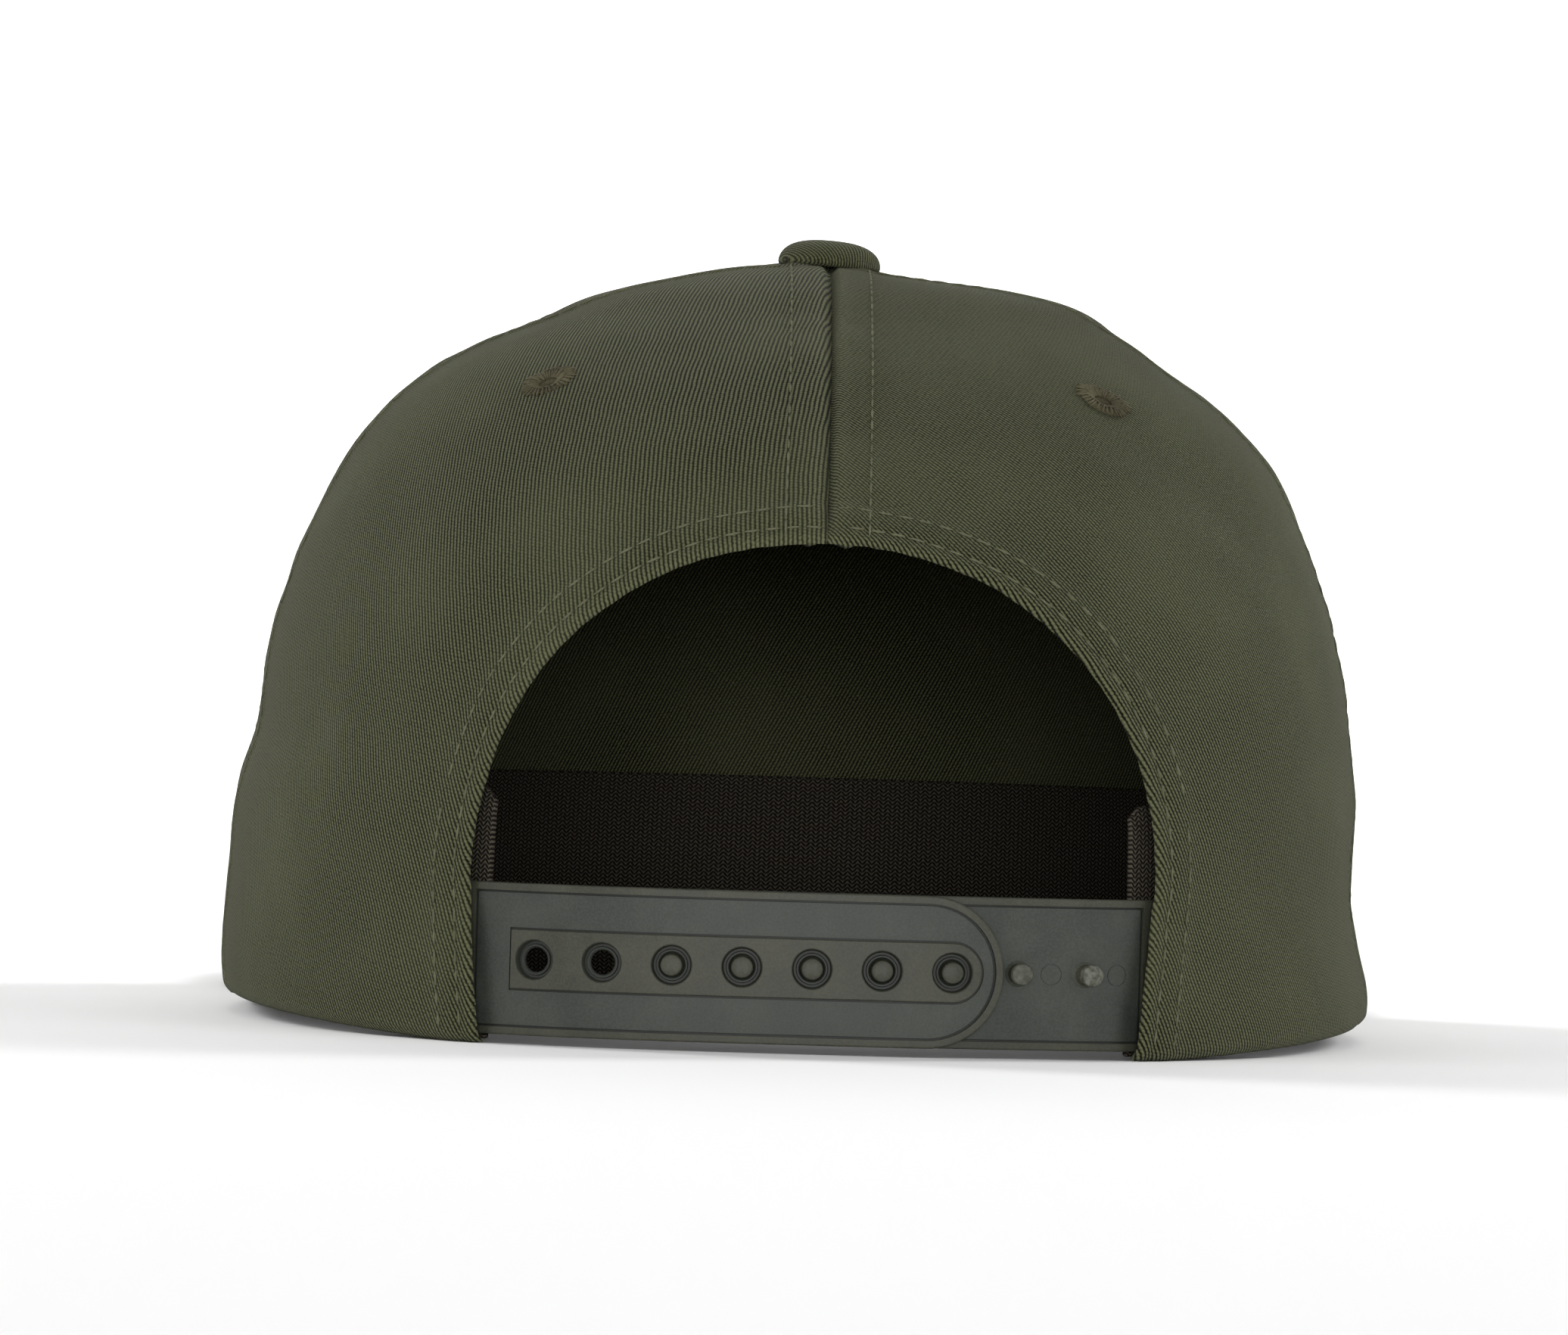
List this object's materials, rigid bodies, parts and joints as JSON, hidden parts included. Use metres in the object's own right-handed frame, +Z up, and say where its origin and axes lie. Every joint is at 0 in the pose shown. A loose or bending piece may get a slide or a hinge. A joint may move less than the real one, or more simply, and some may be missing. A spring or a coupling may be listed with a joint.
{
  "type": "snapback cap",
  "caption": "Five-panel cotton twill cap with a flat peak, an arched opening at the back and an adjustable plastic snap strap.",
  "frame": {"origin": "under the middle of the whole cap's box, on the surface that the rim stands on", "axes": "+Z up through the button, the peak towards -Y, the arched opening and the strap towards +Y, +X the wearer's left"},
  "size_m": [0.167, 0.2668, 0.1108],
  "materials": {
    "twill": "olive cotton twill with fine diagonal ribs",
    "thread": "satin-stitched brown thread",
    "band": "dark knitted tape",
    "snap_plastic": "moulded grey-green plastic, satin"
  },
  "bodies": {
    "root": {"front_panel": "twill", "side_panel_left": "twill", "side_panel_right": "twill", "back_panel_left": "twill", "back_panel_right": "twill", "button": "twill", "peak": "twill", "eyelet_back_left": "thread", "eyelet_back_right": "thread", "eyelet_side_left": "thread", "eyelet_side_right": "thread", "sweatband": "band", "strap_with_holes": "snap_plastic", "strap_with_studs": "snap_plastic"}
  },
  "joints": []
}
